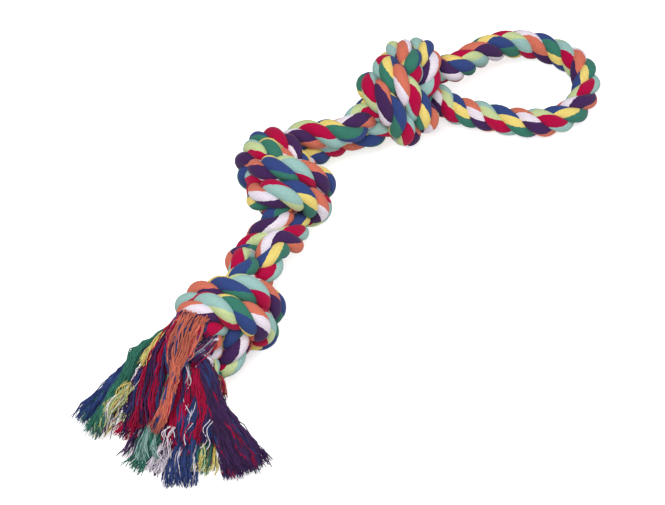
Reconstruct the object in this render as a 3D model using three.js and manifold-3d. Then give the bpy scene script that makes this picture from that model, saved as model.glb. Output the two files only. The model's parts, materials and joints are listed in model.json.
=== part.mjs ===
// A rope dog toy, lying on a surface. One laid cotton rope is folded in half: the fold is the hand
// loop, both halves run side by side through three doubled overhand knots, and both ends are
// unlaid into a tassel. Millimetres and degrees, +Z up, +X from the tassel towards the loop.
import * as THREE from 'three';
import { mergeVertices } from 'three/addons/utils/BufferGeometryUtils.js';
import Module from 'manifold-3d';

const wasm = await Module();
wasm.setup();

// Rope
const ROPE_DIAMETER = 24; // over the strands, where nothing presses on it
const PLACE_SCALE = ROPE_DIAMETER / 24; // the places below are drawn for a rope of 24
const FLAT_DEPTH = ROPE_DIAMETER / 10; // how far the rope is pressed flat on the surface
const PRESS_GAP = 0.5; // between two stretches of rope that lie against each other
const JOINT_GAP = 0.3; // between the end faces of stretches that follow each other
const ROPE_SIDES = 10;

// Knots from the loop to the tassel: centre on the surface, heading of the pull axis towards the
// loop, how far the knot's front is turned about that axis from facing up, and how far from the
// centre its lower rope leaves towards the loop, in rope diameters
const KNOTS = [
  { x: 140, y: 43, heading: -12, roll: 168, lowerReach: 0.9 },
  { x: 7, y: 50.5, heading: 34, roll: 152, lowerReach: 1.45 },
  { x: -128.5, y: -4.5, heading: 20, roll: 9, lowerReach: 1.45 },
];

// One knot, in rope diameters: right, front and along the pull axis
const LOOSE_RADIUS = 2;
const LOOSE_RISE = 1.7;
const LOOSE_TAIL = 3;
const LOOSE_HALF = [ // half of a loose overhand, from the middle of its front
  [0, 1, 0],
  [-0.75, 0.7, 0.25],
  [-1.05, 0, 0.5],
  [-0.75, -0.75, 0.8],
  [0, -1, 1],
  [0.8, -0.65, 1.2],
  [0.95, 0.05, 1.15],
  [0.5, 0.15, 0.5],
  [0.25, 0, -0.6],
  [0, 0, -1.8],
];
const LINK = 0.4; // spacing of the points along a rope
const PRESSED = 0.78; // distance between the middles of two ropes that are drawn tight
const TAKE_UP = 9; // length of each rope that the tight knot holds
const KNOT_REACH = 1.45; // from the knot's centre to where its ropes leave

// Hand loop: points on the middle of the rope, from the upper arm round to the lower arm
const LOOP_POINTS = [
  [197, 30, 36],
  [217, 29.5, 32],
  [237, 28, 27],
  [256, 22, 21.5],
  [272, 9, 17],
  [281, -10, 13],
  [284, -28, 11],
  [277, -43, 9.6],
  [260, -55, 9.6],
  [237, -60, 11],
  [216, -54, 12],
  [202, -41, 12],
  [190, -22, 12.5],
  [181, -5, 14],
  [172.5, 10, 16],
];
const LOOP_STEP = ROPE_DIAMETER * 2 / 3; // between the sections along the hand loop

// Legs between the knots: middle of the two ropes half way along, their heading there, and how
// far the higher rope is turned over from lying on the left of that heading
const LEGS = [
  { x: 81.5, y: 55, z: 28, heading: 172, roll: 50 },
  { x: -58, y: 24, z: 35.5, heading: 210, roll: 245 },
];

// Rope that runs free between the knots
const SIDE_BY_SIDE = 0.96; // distance between the middles of the two ropes, in rope diameters
const FREE_STEP = ROPE_DIAMETER / 3; // between its sections
const LEAST_SPANS = 4;
const NECK_EASE = 0.45; // how roundly the loop's arms turn into the first knot

// Tassel: where each rope end is unlaid, and the fan of yarn bundles that lies on the surface
const FAN_HEADING = 207;
const ROPE_ENDS = [ // on the surface, height, and how far the bundles reach from there
  { half: 'a', x: -179, y: -12, z: 49, length: 80 },
  { half: 'b', x: -177, y: -36.5, z: 26.5, length: 67 },
];
const TUFT_PITCH = ROPE_DIAMETER * 0.26; // between bundles where they leave the rope
const LAYER_PITCH = ROPE_DIAMETER * 0.28; // between layers of bundles at their tips
const TUFT_SPREAD = 0.45; // half a bundle's width as a share of the room between two bundles
const TUFT_SIDES = 8;
const TUFT_SECTIONS = 7;
const TUFT_COLUMNS = [ // from the left of the fan to its right, degrees from the heading, how much
  // faster it spreads at first, and how early it drops to the surface, from 0 to 1
  { end: 0, place: -1, angle: -37, bulge: 1.4, early: 1, colours: ['lime', 'blue', 'green'] },
  { end: 0, place: 0, angle: -31, bulge: 1.4, early: 0.9, colours: ['red', 'white', 'yellow'] },
  { end: 0, place: 1, angle: -15, bulge: 0.5, early: 0.4, colours: ['mint', 'purple', 'orange'] },
  { end: 1, place: -1, angle: -6, bulge: 0.4, early: 0, colours: ['white', 'orange', 'red'] },
  { end: 1, place: 0, angle: 17, bulge: 0.4, early: 0, colours: ['lime', 'mint', 'blue'] },
  { end: 1, place: 1, angle: 39, bulge: 0.4, early: 0, colours: ['green', 'yellow', 'purple'] },
];
const LAYER_REACH = [1, 0.95, 0.86]; // share of the length, from the lowest layer to the highest

const YARNS = {
  blue: 0x344682, yellow: 0xe8d764, green: 0x2d7d5f,
  orange: 0xd76e55, white: 0xe4dce8, purple: 0x42265a,
  mint: 0x8cc3b9, lime: 0xb4d282, red: 0xb90a3c,
};
const ROPE_COLOUR = 0x9a8f86; // the yarns' colours seen together

const vec = (x, y, z) => new THREE.Vector3(x, y, z);
const placed = (x, y, z) => vec(x, y, z).multiplyScalar(PLACE_SCALE);
const radians = THREE.MathUtils.degToRad;
const UP = vec(0, 0, 1);
const FAN_ALONG = vec(Math.cos(radians(FAN_HEADING)), Math.sin(radians(FAN_HEADING)), 0);
const FAN_SIDE = UP.clone().cross(FAN_ALONG);

// Length from the start of a polyline to each of its points
function runAlong(points) {
  const run = [0];
  for (let i = 1; i < points.length; i += 1) {
    run.push(run[i - 1] + points[i].distanceTo(points[i - 1]));
  }
  return run;
}

// Evenly spaced points along a polyline
function spaced(points, step) {
  const run = runAlong(points);
  const total = run[run.length - 1];
  const links = Math.max(1, Math.round(total / step));
  const out = [];
  for (let k = 0, i = 1; k <= links; k += 1) {
    const at = (total * k) / links;
    while (i < points.length - 1 && run[i] < at) i += 1;
    out.push(points[i - 1].clone().lerp(points[i], (at - run[i - 1]) / (run[i] - run[i - 1])));
  }
  return out;
}

function smoothCurve(points, perSpan) {
  const curve = new THREE.CatmullRomCurve3(points, false, 'catmullrom', 0.5);
  return curve.getPoints((points.length - 1) * perSpan);
}

function tangents(points) {
  return points.map((point, i) => {
    const before = points[Math.max(0, i - 1)];
    const after = points[Math.min(points.length - 1, i + 1)];
    return after.clone().sub(before).normalize();
  });
}

// A curve that leaves one point along a direction and arrives at another along a direction
function bridge(from, fromDirection, to, toDirection, ease = 1 / 3) {
  const pull = ease * from.distanceTo(to);
  const spans = Math.max(LEAST_SPANS, Math.round(from.distanceTo(to) / FREE_STEP));
  const leave = from.clone().addScaledVector(fromDirection, pull);
  const arrive = to.clone().addScaledVector(toDirection, -pull);
  return new THREE.CubicBezierCurve3(from, leave, arrive, to).getPoints(spans);
}

// The loose overhand: one half as listed, the other half its half turn about the front
function looseKnot() {
  const size = vec(LOOSE_RADIUS, LOOSE_RADIUS, LOOSE_RISE);
  const half = LOOSE_HALF.map((p) => vec(...p).multiply(size));
  half.push(half[half.length - 1].clone().add(vec(0, 0, -LOOSE_TAIL)));
  const other = half.slice(1).reverse().map((p) => vec(-p.x, p.y, -p.z));
  return spaced(smoothCurve([...other, ...half], 24), LINK);
}

// Two ropes side by side along the loose knot
function doubled(line) {
  const along = tangents(line);
  const across = vec(0, 1, 0);
  let side = line.map((p, i) => {
    const s = along[i].clone().cross(vec(p.x, p.y, 0));
    return s.length() < 1e-3 ? across.clone() : s.normalize();
  });
  for (let pass = 0; pass < 40; pass += 1) {
    side = side.map((s, i) => {
      const inner = i > 0 && i < line.length - 1;
      const mixed = inner ? s.clone().multiplyScalar(0.4).addScaledVector(side[i - 1], 0.3)
        .addScaledVector(side[i + 1], 0.3) : s.clone();
      return mixed.addScaledVector(along[i], -mixed.dot(along[i])).normalize();
    });
  }
  const beside = (offset) => line.map((p, i) => p.clone().addScaledVector(side[i], offset));
  return [beside(0.5), beside(-0.5)];
}

// The two ropes drawn tight: their ends are pulled apart, links keep their length, the ropes
// straighten a little and push each other out to the pressed distance
function tieKnot() {
  const rounds = 2000;
  const pulling = 0.7 * rounds;
  const settling = 0.85 * rounds;
  const line = looseKnot();
  const count = line.length;
  const ropes = doubled(line);
  const points = ropes.flat();
  const startReach = Math.abs(line[0].z);
  const endReach = (LINK * (count - 1) - TAKE_UP) / 2;
  const order = [0, count - 1].map((i) => Math.sign(ropes[0][i].y - ropes[1][i].y));
  const pairs = [];
  for (let i = 0; i < 2 * count; i += 1) {
    for (let j = i + 1; j < 2 * count; j += 1) {
      const sameRope = (i < count) === (j < count);
      if (!sameRope || (j - i) * LINK >= 1.5) pairs.push([i, j]);
    }
  }
  let near = pairs;
  const move = points.map(() => vec(0, 0, 0));
  const apart = vec(0, 0, 0);
  const limit = vec(0.1, 0.1, 0.1);
  const limitBack = limit.clone().negate();
  for (let round = 0; round < rounds; round += 1) {
    const reach = startReach + (endReach - startReach) * Math.min(1, round / pulling);
    ropes.forEach((rope, r) => {
      const offset = (r === 0 ? 0.5 : -0.5) * PRESSED;
      rope[0].set(0, offset * order[0], reach);
      rope[count - 1].set(0, offset * order[1], -reach);
      const bend = round > settling ? 0.024 : 0.12;
      const old = rope.map((p) => p.clone());
      for (let i = 1; i < count - 1; i += 1) {
        const middle = old[i - 1].clone().add(old[i + 1]).multiplyScalar(0.5);
        rope[i].addScaledVector(middle.sub(old[i]), bend);
      }
    });
    if (round % 5 === 0) {
      near = pairs.filter(([i, j]) => points[i].distanceTo(points[j]) < PRESSED + 0.4);
    }
    for (let pass = 0; pass < 3; pass += 1) {
      move.forEach((m) => m.set(0, 0, 0));
      for (const [i, j] of near) {
        apart.subVectors(points[i], points[j]);
        const distance = apart.length() + 1e-9;
        if (distance < PRESSED) {
          apart.multiplyScalar((0.25 * (PRESSED - distance)) / distance);
          move[i].add(apart);
          move[j].sub(apart);
        }
      }
      points.forEach((p, i) => p.add(move[i].clamp(limitBack, limit)));
      for (const first of [0, 1]) {
        for (const rope of ropes) {
          for (let i = first; i < count - 1; i += 2) {
            apart.subVectors(rope[i + 1], rope[i]);
            apart.multiplyScalar(0.5 * (1 - LINK / apart.length()));
            rope[i].add(apart);
            rope[i + 1].sub(apart);
          }
        }
      }
    }
  }
  return ropes;
}

// The stretch of a tied rope that belongs to the knot
function betweenMouths(rope, upperReach) {
  const cut = (a, b, w) => a.clone().lerp(b, (w - a.z) / (b.z - a.z));
  const first = rope.findIndex((p) => p.z < upperReach);
  const last = rope.findLastIndex((p) => p.z > -KNOT_REACH);
  const start = cut(rope[first - 1], rope[first], upperReach);
  const end = cut(rope[last], rope[last + 1], -KNOT_REACH);
  return [start, ...rope.slice(first + 1, last).map((p) => p.clone()), end];
}

// A tied knot turned and set down so that its lowest rope is pressed flat on the surface
function setDown(tied, knot) {
  const axis = vec(Math.cos(radians(knot.heading)), Math.sin(radians(knot.heading)), 0);
  const front = UP.clone().applyAxisAngle(axis, radians(knot.roll));
  const right = front.clone().cross(axis);
  const turn = new THREE.Matrix4().makeBasis(right, front, axis);
  const height = (rope) => rope[0].clone().applyMatrix4(turn).z;
  const lower = height(tied[0]) < height(tied[1]) ? tied[0] : tied[1];
  const ropes = tied.map((rope) => {
    const own = betweenMouths(rope, rope === lower ? knot.lowerReach : KNOT_REACH);
    return own.map((p) => p.multiplyScalar(ROPE_DIAMETER).applyMatrix4(turn));
  });
  const lowest = Math.min(...ropes.flat().map((p) => p.z));
  const shift = placed(knot.x, knot.y, 0);
  shift.z = ROPE_DIAMETER / 2 - FLAT_DEPTH - lowest;
  ropes.flat().forEach((p) => p.add(shift));
  return ropes;
}

// The two ropes half way along a leg, the higher one first, and the way they run there
function legMiddle(leg) {
  const middle = placed(leg.x, leg.y, leg.z);
  const way = vec(Math.cos(radians(leg.heading)), Math.sin(radians(leg.heading)), 0);
  const lean = UP.clone().cross(way).multiplyScalar(Math.cos(radians(leg.roll)))
    .addScaledVector(UP, Math.sin(radians(leg.roll)));
  const off = (SIDE_BY_SIDE * ROPE_DIAMETER) / 2;
  return { way, ropes: [off, -off].map((by) => middle.clone().addScaledVector(lean, by)) };
}

// One rope of a leg, from the end of one knot's rope through the middle to the next knot's rope
function legRope(from, middle, way, to) {
  const first = bridge(lastOf(from), lastOf(tangents(from)), middle, way);
  const second = bridge(middle, way, firstOf(to), firstOf(tangents(to)));
  return [...first, ...second.slice(1)];
}

// Whichever order of two points lies nearer to another two
function inOrder(from, to) {
  const straight = from[0].distanceTo(to[0]) + from[1].distanceTo(to[1]);
  const crossed = from[0].distanceTo(to[1]) + from[1].distanceTo(to[0]);
  return straight <= crossed ? [0, 1] : [1, 0];
}

const firstOf = (points) => points[0];
const lastOf = (points) => points[points.length - 1];

// The whole rope as stretches that follow each other from one unlaid end round to the other
function ropeStretches() {
  const tied = tieKnot();
  const knots = KNOTS.map((knot) => setDown(tied, knot));
  const arc = spaced(smoothCurve(LOOP_POINTS.map((p) => placed(...p)), 12), LOOP_STEP);
  let from = [firstOf(arc), lastOf(arc)];
  for (let k = 0; k < knots.length; k += 1) {
    knots[k] = inOrder(from, knots[k].map(firstOf)).map((i) => knots[k][i]);
    from = knots[k].map(lastOf);
  }
  const ends = ROPE_ENDS.map((end) => placed(end.x, end.y, end.z));
  const endOrder = inOrder(from, ends);
  const legs = LEGS.map((leg, k) => {
    const { way, ropes } = legMiddle(leg);
    const firstIsHigher = lastOf(knots[k][0]).z > lastOf(knots[k][1]).z;
    return { way, ropes: firstIsHigher ? ropes : ropes.reverse() };
  });
  const halves = [0, 1].map((h) => {
    const [first, second, third] = knots.map((pair) => pair[h]);
    const armEnd = h === 0 ? firstOf(arc) : lastOf(arc);
    const armWay = h === 0 ? firstOf(tangents(arc)).negate() : lastOf(tangents(arc));
    const end = endOrder[h];
    const name = ROPE_ENDS[end].half;
    const neck = bridge(armEnd, armWay, firstOf(first), firstOf(tangents(first)), NECK_EASE);
    const legOne = legRope(first, legs[0].ropes[h], legs[0].way, second);
    const legTwo = legRope(second, legs[1].ropes[h], legs[1].way, third);
    const root = bridge(lastOf(third), lastOf(tangents(third)), ends[end], FAN_ALONG);
    return [
      { name: `handle_neck_${name}`, points: neck, free: true },
      { name: `knot_1_rope_${name}`, points: first },
      { name: `leg_1_rope_${name}`, points: legOne, free: true },
      { name: `knot_2_rope_${name}`, points: second },
      { name: `leg_2_rope_${name}`, points: legTwo, free: true },
      { name: `knot_3_rope_${name}`, points: third },
      { name: `tassel_root_${name}`, points: root, free: true },
    ];
  });
  const back = halves[0].reverse();
  back.forEach((stretch) => stretch.points.reverse());
  return [...back, { name: 'handle_loop', points: arc }, ...halves[1]];
}

// One line of points for the whole rope; each stretch keeps its first and last place in it
function ropeLine() {
  const points = [];
  const movable = [];
  const stretches = ropeStretches().map(({ name, points: own, free }) => {
    const first = Math.max(0, points.length - 1);
    own.slice(points.length ? 1 : 0).forEach((p) => points.push(p));
    const last = points.length - 1;
    for (let i = first + 2; free && i < last - 1; i += 1) {
      movable.push({ i, depth: Math.min(i - first, last - i) });
    }
    return { name, first, last };
  });
  const run = runAlong(points);
  const apart = (i, j) => Math.abs(run[i] - run[j]) > 1.25 * ROPE_DIAMETER;
  settle(points, movable, apart);
  return { points, stretches, apart };
}

// The free stretches move aside smoothly until they are clear of each other and of the knots
function settle(points, movable, apart) {
  const want = points.map(() => Infinity);
  movable.forEach(({ i, depth }) => {
    const ease = Math.min(1, (depth - 1) / 3);
    want[i] = THREE.MathUtils.lerp(PRESSED, SIDE_BY_SIDE, ease) * ROPE_DIAMETER;
  });
  const start = points.map((p) => p.clone());
  let shift = points.map(() => vec(0, 0, 0));
  for (let round = 0; round < 300; round += 1) {
    const next = shift.map((v) => v.clone());
    for (const { i } of movable) {
      next[i].lerp(shift[i - 1].clone().add(shift[i + 1]).multiplyScalar(0.5), 0.3);
      for (let j = 0; j < points.length; j += 1) {
        const away = points[i].clone().sub(points[j]);
        const short = Math.min(want[i], want[j]) - away.length();
        if (short > 0 && apart(i, j)) next[i].addScaledVector(away.normalize(), 0.2 * short);
      }
    }
    shift = next;
    movable.forEach(({ i }) => points[i].addVectors(start[i], shift[i]));
  }
}

// Planes that a ring of the rope stays behind: half way to every stretch that presses on the rope
// there or at the middles of the links beside it
function pressPlanes(points, apart) {
  const middles = points.slice(1).map((p, i) => p.clone().add(points[i]).multiplyScalar(0.5));
  const planesAt = (p, i) => {
    const near = points.filter((q, j) => apart(i, j)).concat(middles.filter((q, j) => apart(i, j)));
    return near.filter((q) => q.distanceTo(p) < ROPE_DIAMETER + PRESS_GAP).map((q) => {
      const half = (q.distanceTo(p) - PRESS_GAP) / 2;
      const normal = q.clone().sub(p).normalize();
      const onPlane = p.clone().addScaledVector(normal, half);
      return new THREE.Plane().setFromNormalAndCoplanarPoint(normal, onPlane);
    });
  };
  const atMiddles = middles.map(planesAt);
  const beside = (i) => [...(atMiddles[i - 1] ?? []), ...(atMiddles[i] ?? [])];
  return points.map((p, i) => [...planesAt(p, i), ...beside(i)]);
}

// A closed solid through rings of points, each ring with as many points as the others
function loft(rings) {
  const sides = rings[0].length;
  const corners = rings.flat();
  const ends = [rings[0], rings[rings.length - 1]].map((ring) => {
    const middle = vec(0, 0, 0);
    ring.forEach((p) => middle.addScaledVector(p, 1 / sides));
    return middle;
  });
  const positions = [...corners, ...ends].flatMap((p) => [p.x, p.y, p.z]);
  const index = [];
  const last = (rings.length - 1) * sides;
  for (let s = 0; s < sides; s += 1) {
    const t = (s + 1) % sides;
    for (let r = 0; r < rings.length - 1; r += 1) {
      const here = r * sides;
      const next = here + sides;
      index.push(here + s, here + t, next + t, here + s, next + t, next + s);
    }
    index.push(corners.length, t, s, corners.length + 1, last + s, last + t);
  }
  const geometry = new THREE.BufferGeometry();
  geometry.setAttribute('position', new THREE.Float32BufferAttribute(positions, 3));
  geometry.setIndex(index);
  return geometry;
}

// Rings across the rope at each of its points, turned as little as can be from one to the next:
// round where the rope is free and flattened where it is pressed
function ropeRings(points, planes) {
  const along = tangents(points);
  along[0] = FAN_ALONG.clone().negate();
  along[along.length - 1] = FAN_ALONG.clone();
  const across = UP.clone().cross(along[0]).normalize();
  const rings = points.map((p, i) => {
    across.addScaledVector(along[i], -across.dot(along[i])).normalize();
    const over = along[i].clone().cross(across);
    return Array.from({ length: ROPE_SIDES }, (_, s) => {
      const angle = (2 * Math.PI * s) / ROPE_SIDES;
      const way = across.clone().multiplyScalar(Math.cos(angle)).addScaledVector(over, Math.sin(angle));
      let radius = ROPE_DIAMETER / 2;
      for (const plane of planes[i]) {
        const facing = plane.normal.dot(way);
        if (facing > 0) radius = Math.min(radius, -plane.distanceToPoint(p) / facing);
      }
      return p.clone().addScaledVector(way, radius);
    });
  });
  return { rings, along };
}

// Least distance between points of the rope's surface on stretches that press on each other
function leastGap(rings, apart) {
  let least = Infinity;
  rings.forEach((ring, i) => {
    rings.slice(i + 1).forEach((other, k) => {
      if (!apart(i, i + 1 + k) || ring[0].distanceTo(other[0]) > 3 * ROPE_DIAMETER) return;
      ring.forEach((p) => other.forEach((q) => { least = Math.min(least, p.distanceTo(q)); }));
    });
  });
  return least;
}

function solidOf(geometry) {
  const bare = geometry.clone();
  bare.deleteAttribute('normal');
  bare.deleteAttribute('uv');
  const merged = mergeVertices(bare);
  const vertProperties = new Float32Array(merged.attributes.position.array);
  const triVerts = new Uint32Array(merged.index.array);
  return new wasm.Manifold(new wasm.Mesh({ numProp: 3, vertProperties, triVerts }));
}

// What lies below the surface cut off flat
function pressedFlat(geometry) {
  geometry.computeBoundingBox();
  const { min, max } = geometry.boundingBox;
  if (min.z >= 0) return geometry;
  const margin = ROPE_DIAMETER;
  const below = new THREE.BoxGeometry(max.x - min.x + margin, max.y - min.y + margin, margin);
  below.translate((min.x + max.x) / 2, (min.y + max.y) / 2, -margin / 2);
  const mesh = solidOf(geometry).subtract(solidOf(below)).getMesh();
  const flat = new THREE.BufferGeometry();
  flat.setAttribute('position', new THREE.BufferAttribute(new Float32Array(mesh.vertProperties), 3));
  flat.setIndex(new THREE.BufferAttribute(new Uint32Array(mesh.triVerts), 1));
  return flat;
}

function addPiece(group, name, geometry, colour) {
  geometry.computeVertexNormals();
  const material = new THREE.MeshStandardMaterial({ color: colour, roughness: 0.95, metalness: 0 });
  const mesh = new THREE.Mesh(geometry, material);
  mesh.name = name;
  group.add(mesh);
}

function addRope(group) {
  const { points, stretches, apart } = ropeLine();
  const { rings, along } = ropeRings(points, pressPlanes(points, apart));
  console.log(`least gap of the rope to itself ${leastGap(rings, apart).toFixed(2)} mm`);
  const moved = (ring, direction, by) => ring.map((p) => p.clone().addScaledVector(direction, by));
  for (const { name, first, last } of stretches) {
    const own = rings.slice(first, last + 1);
    own[0] = moved(own[0], along[first], JOINT_GAP / 2);
    own[own.length - 1] = moved(lastOf(own), along[last], -JOINT_GAP / 2);
    addPiece(group, name, pressedFlat(loft(own)), ROPE_COLOUR);
  }
}

// How far to the side of the fan's heading a column of bundles lies, at a distance along it
function columnAcross(column, out) {
  const end = ROPE_ENDS[column.end];
  const start = placed(end.x, end.y, 0);
  const run = Math.max(0, out - start.dot(FAN_ALONG));
  const bulge = 1 + column.bulge * Math.max(0, 1 - run / (end.length * PLACE_SCALE));
  const spread = run * Math.tan(radians(column.angle)) * bulge;
  return start.dot(FAN_SIDE) + column.place * TUFT_PITCH + spread;
}

// One bundle of yarn: it leaves the rope's end, drops to the surface and fans out
function tuftSolid(columnIndex, layer) {
  const column = TUFT_COLUMNS[columnIndex];
  const end = ROPE_ENDS[column.end];
  const start = placed(end.x, end.y, end.z);
  const startOut = start.dot(FAN_ALONG);
  const reach = end.length * PLACE_SCALE * Math.cos(radians(column.angle));
  const restHeight = LAYER_PITCH * (layer + 0.4);
  const startHeight = start.z + TUFT_PITCH * (layer - (LAYER_REACH.length - 1) / 2);
  const rings = Array.from({ length: TUFT_SECTIONS + 1 }, (_, k) => {
    const share = (LAYER_REACH[layer] * k) / TUFT_SECTIONS;
    const out = startOut + JOINT_GAP / 2 + reach * share;
    const middle = columnAcross(column, out);
    const beside = [TUFT_COLUMNS[columnIndex - 1], TUFT_COLUMNS[columnIndex + 1]].filter(Boolean);
    const room = Math.min(...beside.map((other) => Math.abs(columnAcross(other, out) - middle)));
    const late = THREE.MathUtils.smoothstep(share, 0, 1);
    const fall = THREE.MathUtils.lerp(late, 1 - (1 - share) ** 2, column.early);
    const height = THREE.MathUtils.lerp(startHeight, restHeight, fall);
    const layerRoom = THREE.MathUtils.lerp(TUFT_PITCH, LAYER_PITCH, fall);
    return Array.from({ length: TUFT_SIDES }, (__, s) => {
      const angle = (2 * Math.PI * (s + 0.5)) / TUFT_SIDES;
      const corner = FAN_ALONG.clone().multiplyScalar(out)
        .addScaledVector(FAN_SIDE, middle + TUFT_SPREAD * room * Math.cos(angle));
      corner.z = Math.max(0, height + TUFT_SPREAD * layerRoom * Math.sin(angle));
      return corner;
    });
  });
  return loft(rings);
}

function addTassel(group) {
  TUFT_COLUMNS.forEach((column, c) => {
    column.colours.forEach((colour, layer) => {
      const name = `tuft_${ROPE_ENDS[column.end].half}_${colour}`;
      addPiece(group, name, tuftSolid(c, layer), YARNS[colour]);
    });
  });
}

const toy = new THREE.Group();
addRope(toy);
addTassel(toy);

// The origin lies under the middle of the toy
const box = new THREE.Box3().setFromObject(toy);
const middle = box.getCenter(vec(0, 0, 0));
toy.position.set(-middle.x, -middle.y, -box.min.z);
toy.updateMatrixWorld(true);

export default toy;
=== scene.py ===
import json
import math

import bpy
import numpy as np
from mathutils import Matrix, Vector


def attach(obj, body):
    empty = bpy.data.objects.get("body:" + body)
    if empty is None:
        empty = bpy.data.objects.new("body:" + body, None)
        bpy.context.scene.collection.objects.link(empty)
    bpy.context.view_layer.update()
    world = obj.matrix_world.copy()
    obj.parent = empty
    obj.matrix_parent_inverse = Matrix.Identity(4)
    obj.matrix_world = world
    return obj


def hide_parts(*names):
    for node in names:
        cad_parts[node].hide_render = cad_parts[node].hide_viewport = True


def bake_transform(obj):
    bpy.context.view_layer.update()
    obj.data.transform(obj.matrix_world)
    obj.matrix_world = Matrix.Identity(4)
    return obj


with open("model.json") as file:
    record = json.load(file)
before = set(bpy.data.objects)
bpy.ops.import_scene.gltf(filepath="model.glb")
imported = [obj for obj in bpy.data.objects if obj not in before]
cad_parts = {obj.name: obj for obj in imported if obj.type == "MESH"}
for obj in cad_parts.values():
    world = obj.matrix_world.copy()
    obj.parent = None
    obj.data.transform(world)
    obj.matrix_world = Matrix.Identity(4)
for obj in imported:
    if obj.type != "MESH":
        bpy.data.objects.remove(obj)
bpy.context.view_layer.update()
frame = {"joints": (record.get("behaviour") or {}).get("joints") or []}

# The layout's place in the part's frame, found from a hinge that both know
HINGES = {joint["name"]: np.array(joint["pos_m"]) * 1000 for joint in frame["joints"]}
LEG_1_BEND_AT = np.array([54.0, 72.0, 31.0])
LAYOUT_SHIFT = HINGES["leg_1_bend"] - LEG_1_BEND_AT

# Camera
VIEW_FROM = np.array([-812.0, -682.0, 1264.0])
VIEW_AT = np.array([0.0, 0.0, 0.0])
LENS = 114.0
SENSOR = 36.0
IMAGE_WIDTH = 665
IMAGE_HEIGHT = 505
VIEW_REACH = 20  # metres, to the farthest thing that the camera shows

# Rope
ROPE = 24.0  # over the strands
FLAT = ROPE / 10  # how far the floor presses a knot's lowest rope
STEP = 1.5  # between the rings of a strand
FINER = 4  # points for each such step while the route is made even
ROUTE_SMOOTHINGS = 6
ROUTE_EVEN = 0.25
LAY = 1.88 * ROPE  # length of one full turn of the three strands
STRAND_OFF = 0.243 * ROPE  # from the middle of the rope to the middle of a strand
STRAND_RADIUS = 0.257 * ROPE
STRAND_SIDES = 27
PRESS_SKIP = 3  # rings from one to the next that is looked at as pressing
PRESS_APART = 1.4  # diameters along the rope from which it can press on itself
PRESS_GIVE = 0.7
YARN_SHARES = (0.38, 0.24, 0.38)  # of a strand's way round, for its three yarns
YARN_GROOVE = 0.05  # depth between two yarns, as a share of the strand's radius
GROOVE_WIDTH = 0.22  # radians to each side of it
YARNS_TURN = 2  # turns of a strand's yarns for each turn of the rope
STRAND_YARNS = (
    ("green", "yellow", "blue"),
    ("purple", "white", "orange"),
    ("red", "lime", "mint"),
)

# Where the strands' crests are seen in the camera's picture: the place, the strand by its number
# above, and the share of the strand's way round that faces the camera there
CRESTS = (
    (460.5, 113.0, 0, 0.5), (476.0, 113.0, 1, 0.5), (492.5, 115.5, 2, 0.4), (513.0, 120.0, 0, 0.5),
    (531.0, 121.5, 1, 0.36), (550.0, 121.5, 2, 0.2), (564.0, 115.0, 0, 0.45), (576.0, 104.0, 1, 0.19),
    (584.5, 94.0, 2, 0.19), (584.5, 81.0, 0, 0.5), (580.0, 68.0, 1, 0.97), (571.0, 59.5, 2, 0.15),
    (555.5, 50.0, 0, 0.3), (536.5, 46.0, 1, 0.8), (519.0, 44.0, 2, 0.75), (498.5, 46.0, 0, 0.9),
    (481.0, 52.0, 1, 0.15), (468.5, 61.5, 2, 0.5), (459.0, 71.5, 0, 0.75),
    (369.5, 89.0, 2, 0.15), (384.0, 102.5, 1, 0.15), (398.5, 116.5, 0, 0.95),
    (389.0, 73.5, 0, 0.38), (402.5, 86.5, 1, 0.62), (416.5, 96.0, 2, 0.15), (428.0, 109.5, 0, 0.5),
    (398.0, 47.0, 2, 0.81), (412.0, 50.0, 1, 0.81), (427.0, 57.0, 0, 0.5),
    (322.5, 137.0, 2, 0.1), (339.5, 130.5, 0, 0.19), (357.0, 123.5, 1, 0.19),
    (264.5, 191.5, 1, 0.5), (284.0, 193.0, 2, 0.81), (304.5, 197.5, 0, 0.5), (323.0, 206.5, 1, 0.5),
    (264.5, 163.5, 1, 0.19), (282.0, 163.5, 0, 0.97), (302.0, 169.0, 2, 0.0), (318.0, 178.0, 1, 0.19),
    (293.0, 226.0, 0, 0.81), (273.0, 262.0, 0, 0.55),
    (236.0, 285.0, 0, 0.97), (241.0, 315.0, 0, 0.97), (214.0, 335.0, 2, 0.19),
)

# A place nearer the camera wins over one behind it by this many pixels for each millimetre
NEARER_WINS = 0.35

# Knots from the loop to the tassel: place, heading, roll, and reach of the lower rope
KNOTS = (
    (140.0, 43.0, -12.0, 168.0, 0.9),
    (7.0, 50.5, 34.0, 152.0, 1.45),
    (-128.5, -4.5, 20.0, 9.0, 1.45),
)
# The loose knot and its tying, in rope diameters
KNOT_REACH = 1.45
LOOSE_RADIUS = 2.0
LOOSE_RISE = 1.7
LOOSE_TAIL = 3.0
LOOSE_HALF = np.array([
    (0, 1, 0),
    (-0.75, 0.7, 0.25),
    (-1.05, 0, 0.5),
    (-0.75, -0.75, 0.8),
    (0, -1, 1),
    (0.8, -0.65, 1.2),
    (0.95, 0.05, 1.15),
    (0.5, 0.15, 0.5),
    (0.25, 0, -0.6),
    (0, 0, -1.8),
])
LINK = 0.4
PRESSED = 0.78
TAKE_UP = 9.0
SIDE_SMOOTHINGS = 40
SIDE_KEPT = 0.4  # of a point's own side at each smoothing
TIE_ROUNDS = 2000
PULLED_BY = 0.7  # of the rounds, when the ends have been pulled all the way
SETTLES_AT = 0.85  # of the rounds, when the ropes go softer
STIFF = 0.12
SOFT = 0.024
NEIGHBOURS = 1.5  # stretch of one rope that doesn't push itself
LOOK_EVERY = 5  # rounds between two searches for ropes that are close
LOOK_MARGIN = 0.4
PUSH_PASSES = 3
PUSH_SHARE = 0.25
PUSH_MOST = 0.1

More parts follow.
